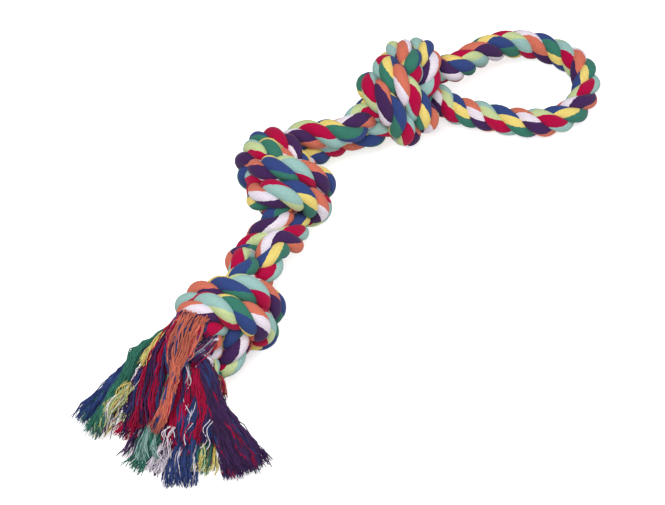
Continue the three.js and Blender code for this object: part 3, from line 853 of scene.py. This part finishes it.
def strand_material(k):
    material, tree, shader = new_material("laid_strand_" + "abc"[k])
    around, along = yarn_map(tree)
    place = add_node(tree, "ShaderNodeTexCoord").outputs["Object"]
    wander = noise(tree, place, EDGE_SCALE)
    edge = maths(tree, "MULTIPLY_ADD", wander, EDGE_WANDER, -EDGE_WANDER / 2)
    sector = maths(tree, "FRACT", maths(tree, "ADD", around, edge))
    ramp = add_node(tree, "ShaderNodeValToRGB")
    stops = ramp.color_ramp
    stops.interpolation = "CONSTANT"
    starts = (0.0, YARN_SHARES[0], YARN_SHARES[0] + YARN_SHARES[1])
    stops.elements[0].position = 0.0
    stops.elements[1].position = starts[1]
    stops.elements.new(starts[2])
    for element, dye in zip(stops.elements, STRAND_YARNS[k]):
        element.color = linear(DYES[dye])
    tree.links.new(sector, ramp.inputs[0])
    across = maths(tree, "MULTIPLY", around, THREADS_ROUND)
    lengthways = maths(tree, "MULTIPLY", along, THREADS_ALONG)
    threads = noise(tree, combined(tree, across, lengthways), 1.0, *GRAIN)
    flecks = noise(tree, place, FLECK_SCALE, 2.0, GRAIN[1])
    lift = maths(tree, "MULTIPLY_ADD", threads, *THREAD_TONE)
    lift = maths(tree, "MULTIPLY", lift, maths(tree, "MULTIPLY_ADD", flecks, *FLECK_TONE))
    shade = add_node(tree, "ShaderNodeVectorMath", operation="SCALE")
    tree.links.new(ramp.outputs[0], shade.inputs[0])
    tree.links.new(lift, shade.inputs["Scale"])
    tree.links.new(shade.outputs[0], shader.inputs["Base Color"])
    height = maths(tree, "ADD", threads, maths(tree, "MULTIPLY", flecks, FLECK_RELIEF))
    bump = add_node(tree, "ShaderNodeBump")
    bump.inputs["Strength"].default_value = RELIEF_STRENGTH
    bump.inputs["Distance"].default_value = RELIEF_DEPTH
    tree.links.new(height, bump.inputs["Height"])
    tree.links.new(bump.outputs[0], shader.inputs["Normal"])
    return material


def yarn_material(dye):
    material, tree, shader = new_material("loose_yarn_" + dye)
    tone, along = yarn_map(tree)
    across = maths(tree, "MULTIPLY", tone, PATCHES_APART)
    lengthways = maths(tree, "MULTIPLY", along, PATCHES_ALONG)
    patches = noise(tree, combined(tree, across, lengthways), 1.0, *GRAIN)
    lift = maths(tree, "MULTIPLY_ADD", tone, *YARN_TONE)
    lift = maths(tree, "MULTIPLY", lift, maths(tree, "MULTIPLY_ADD", patches, *PATCH_TONE))
    shade = add_node(tree, "ShaderNodeVectorMath", operation="SCALE")
    shade.inputs[0].default_value = linear(DYES[dye])[:3]
    tree.links.new(lift, shade.inputs["Scale"])
    tree.links.new(shade.outputs[0], shader.inputs["Base Color"])
    return material


STRAND_MATERIALS = [strand_material(k) for k in range(3)]
YARN_MATERIALS = {dye: yarn_material(dye) for dye in DYES}


# Rope pieces

line, spans = fine_route()
rings, run = strand_rings(line)
loop_first, loop_last = spans["handle_loop"]
loop = rope_piece("hand_loop", rings, run, loop_first, loop_last)
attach(loop, "handle")
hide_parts("handle_loop")


# Bakes a piece's placement into its mesh; the bend between its two bodies is looked up but not made
def bend(piece, name):
    one, two, hinge, way, before, after = BENDS[name]
    way = np.array(way)
    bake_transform(piece)


def add_laid(name, node, first, last):
    piece = rope_piece(name, rings, run, first, last)
    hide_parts(node)
    return piece


def make_rope():
    count = len(line) - 1
    start_name = next(iter(spans))
    starts_unlaid = round(UNLAID[start_name[-1]] / STEP)
    ends_unlaid = count - round(UNLAID["a" if start_name[-1] == "b" else "b"] / STEP)
    for node, (first, last) in spans.items():
        first = max(first, starts_unlaid)
        last = min(last, ends_unlaid)
        if node == "handle_loop" or last - first < 2:
            continue
        if node.startswith("leg"):
            middle = (first + last) // 2
            before, after = ("far", "near") if node.endswith(start_name[-1]) else ("near", "far")
            if node.startswith("leg_1"):
                before, after = after, before
            bend(add_laid(f"laid_{node}_{before}", node, first, middle), f"{node[:5]}_{before}")
            bend(add_laid(f"laid_{node}_{after}", node, middle, last), f"{node[:5]}_{after}")
            continue
        piece = add_laid("laid_" + node, node, first, last)
        if node.startswith("knot"):
            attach(piece, node[:6])
        else:
            bend(piece, "handle_neck" if node.startswith("handle") else "tassel")


make_rope()


# Loose yarn

# The point of a height above the floor that the camera sees at a place in its picture
def seen_at(x, y, height):
    forward, right, above, focal = camera_axes()
    ray = forward + right * (x - IMAGE_WIDTH / 2) / focal + above * (IMAGE_HEIGHT / 2 - y) / focal
    return VIEW_FROM + ray * (height - VIEW_FROM[2]) / ray[2]


# Millimetres for one pixel of the picture, where the tassel lies
def pixel_size():
    x, y, height = PIXEL_PLACE
    return np.linalg.norm(seen_at(x + 1, y, height) - seen_at(x, y, height))


def lock_line(heights, places):
    flat = np.array([(x, y, 0.0) for x, y, _ in places])
    share = run_along(flat) / run_along(flat)[-1]
    if len(heights) == 2:
        share = share * share * (3 - 2 * share)
    height = np.interp(share, np.linspace(0, 1, len(heights)), heights)
    points = np.array([seen_at(x, y, z) for (x, y, _), z in zip(places, height)])
    curve = smooth_curve(points, LOCK_SPAN_POINTS)
    places_at = np.linspace(0, 1, len(places))
    widths = np.interp(np.linspace(0, 1, len(curve)), places_at, [w for *_, w in places])
    return curve, widths * pixel_size() / 2


# The threads of one lock, as lines of points, with their dyes. They run in yarns of a few threads
# of one dye that are twisted together, and a curl's threads wander more and in shorter waves
def lock_threads(count, dyes, heights, places, curled, chance):
    steps, fewest, too_many, wave, sizes = CURL_WAY if curled else LOCK_WAY
    curve, half = lock_line(heights, places)
    run = run_along(curve)
    threads = []
    thread_dyes = []
    while len(threads) < count:
        begin = run[-1] * chance.uniform(0, STARTS_WITHIN)
        stop = run[-1] * (1 - STOPS_WITHIN * chance.random() ** STOPS_LATE)
        spread = math.sqrt(chance.random())
        turn = chance.uniform(0, 2 * math.pi)
        dye = dyes[chance.integers(0, len(dyes))]
        phase = chance.uniform(0, 2 * math.pi, 2)
        length = chance.uniform(*wave, 2)
        size = chance.uniform(*sizes, 2)
        sway = chance.uniform(-SWAY, SWAY)
        twist = chance.uniform(*YARN_TWIST)
        members = chance.integers(fewest, too_many)
        for _ in range(members):
            at = np.linspace(begin, stop - chance.uniform(0, RAGGED), steps + 1)
            middle = sampled(curve, run, at)
            along = tangents(middle)
            side = unit(np.cross(along, UP))
            over = np.cross(side, along)
            wide = np.interp(at, run, half)
            thick = np.minimum(wide, THICKEST)
            share = at / run[-1]
            frayed = 1 + FRAYS_BY * np.maximum(0, share - FRAYS_FROM) / (1 - FRAYS_FROM)
            wound = chance.uniform(0, 2 * math.pi) + twist * at
            apart = chance.uniform(*THREADS_APART) * frayed
            off_side = spread * math.cos(turn) * wide + apart * np.cos(wound)
            off_side += size[0] * np.sin(phase[0] + 2 * math.pi * at / length[0])
            off_side += sway * share ** 3
            off_over = spread * math.sin(turn) * thick + apart * np.sin(wound)
            off_over += size[1] * np.sin(phase[1] + 2 * math.pi * at / length[1])
            points = middle + off_side[:, None] * side + off_over[:, None] * over
            points[:, 2] = np.maximum(points[:, 2], THREAD / 2)
            threads.append(points)
            thread_dyes.append(dye)
    return threads, thread_dyes


# A tube round each thread, closed at both ends, in one mesh
def yarn_piece(name, threads, dyes, chance):
    angle = 2 * math.pi * np.arange(THREAD_SIDES) / THREAD_SIDES
    used = sorted(set(dyes))
    verts = []
    faces = []
    uvs = []
    dye_of_face = []
    base = 0
    for points, dye in zip(threads, dyes):
        rows = len(points)
        along = tangents(points)
        across = carried_across(along, UP + TILTED_UP)
        over = np.cross(along, across)
        width = (CURL_THREAD if rows > CURL_STEPS else THREAD) / 2 * chance.uniform(*THREAD_SIZES)
        taper = np.full(rows, width)
        taper[-1] *= TIP
        ring = np.cos(angle)[:, None, None] * across + np.sin(angle)[:, None, None] * over
        verts.append((points + ring * taper[:, None]).transpose(1, 0, 2).reshape(-1, 3))
        tone = chance.random()
        lengths = run_along(points) / ROPE
        for i in range(rows - 1):
            for j in range(THREAD_SIDES):
                a = base + i * THREAD_SIDES + j
                b = base + i * THREAD_SIDES + (j + 1) % THREAD_SIDES
                faces.append((a, b, b + THREAD_SIDES, a + THREAD_SIDES))
                uvs += [(tone, lengths[i])] * 2 + [(tone, lengths[i + 1])] * 2
        last = base + (rows - 1) * THREAD_SIDES
        faces.append(tuple(base + j for j in range(THREAD_SIDES - 1, -1, -1)))
        faces.append(tuple(last + j for j in range(THREAD_SIDES)))
        uvs += [(tone, lengths[0])] * THREAD_SIDES + [(tone, lengths[-1])] * THREAD_SIDES
        dye_of_face += [used.index(dye)] * ((rows - 1) * THREAD_SIDES + 2)
        base += rows * THREAD_SIDES
    materials = [YARN_MATERIALS[dye] for dye in used]
    piece = new_piece(name, in_frame(np.vstack(verts)), faces, materials, dye_of_face, uvs)
    piece.data.polygons.foreach_set("use_smooth", [True] * len(faces))
    piece.data.update()
    return piece


# Loose yarn in the place of each rope's end, all its dyes together
def root_threads(first, last, count, chance):
    own = line[first:last + 1]
    along = tangents(own)
    across = carried_across(along, UP)
    over = np.cross(along, across)
    threads = []
    for _ in range(count):
        spread = ROOT_SPREAD * ROPE * math.sqrt(chance.random())
        turn = chance.uniform(0, 2 * math.pi) + np.linspace(0, chance.uniform(*ROOT_TURN), len(own))
        points = own + spread * (np.cos(turn)[:, None] * across + np.sin(turn)[:, None] * over)
        rows = np.linspace(0, len(own) - 1, THREAD_STEPS + 1).round().astype(int)
        threads.append(points[rows])
    return threads


def make_tassel():
    chance = np.random.default_rng(SEED)
    rope_end = len(line) - 1
    for node in ("tassel_root_a", "tassel_root_b"):
        _, last = spans[node]
        half = node[-1]
        loose = round(UNLAID[half] / STEP)
        ends_here = last == rope_end
        first, last = (rope_end - loose, rope_end) if ends_here else (0, loose)
        threads = root_threads(first, last, ROOT_THREADS, chance)
        dyes = [ROOT_DYES[half][i % len(ROOT_DYES[half])] for i in range(ROOT_THREADS)]
        piece = yarn_piece("loose_" + node, threads, dyes, chance)
        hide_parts(node)
        bend(piece, "tassel")
    bundles = {}
    for curled, rows in ((False, LOCKS), (True, CURLS)):
        for bundle, own_dyes, number, heights, places in rows:
            threads, thread_dyes = bundles.setdefault(bundle, ([], []))
            count = number if curled else round(number * FULLNESS)
            more, more_dyes = lock_threads(count, own_dyes, heights, places, curled, chance)
            threads += more
            thread_dyes += more_dyes
    for bundle, (threads, thread_dyes) in bundles.items():
        piece = yarn_piece("loose_yarn_" + bundle, threads, thread_dyes, chance)
        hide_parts("tuft_" + bundle)
        bend(piece, "tassel")


make_tassel()


# Floor and light

def make_floor():
    bpy.ops.object.select_all(action="DESELECT")
    bpy.ops.mesh.primitive_plane_add(size=FLOOR_SIZE)
    floor = bpy.context.object
    floor.name = "studio_floor"
    material, tree, shader = new_material("studio_white")
    shader.inputs["Base Color"].default_value = (FLOOR_WHITE,) * 3 + (1.0,)
    shader.inputs["Sheen Weight"].default_value = 0.0
    rays = add_node(tree, "ShaderNodeLightPath")
    shader.inputs["Emission Color"].default_value = (1, 1, 1, 1)
    seen = maths(tree, "MULTIPLY", rays.outputs["Is Camera Ray"], FLOOR_GLOW)
    tree.links.new(seen, shader.inputs["Emission Strength"])
    floor.data.materials.append(material)


def make_light():
    scene = bpy.context.scene
    scene.view_settings.view_transform = "Standard"
    world = bpy.data.worlds.new("studio_air")
    world.use_nodes = True
    tree = world.node_tree
    rays = add_node(tree, "ShaderNodeLightPath")
    seen = maths(tree, "MAXIMUM", rays.outputs["Is Camera Ray"], rays.outputs["Is Glossy Ray"])
    seen = maths(tree, "MAXIMUM", seen, rays.outputs["Is Transmission Ray"])
    strength = maths(tree, "MULTIPLY_ADD", seen, SKY_SEEN, SKY_LIGHT)
    sky = tree.nodes["Background"]
    sky.inputs["Color"].default_value = (1, 1, 1, 1)
    tree.links.new(strength, sky.inputs["Strength"])
    scene.world = world
    for name, place, power in PANELS:
        data = bpy.data.lights.new(name, "AREA")
        data.size = PANEL_SIZE
        data.energy = power
        lamp = bpy.data.objects.new(name, data)
        scene.collection.objects.link(lamp)
        lamp.location = place
        lamp.rotation_euler = (-Vector(place)).to_track_quat("-Z", "Y").to_euler()


make_floor()
make_light()
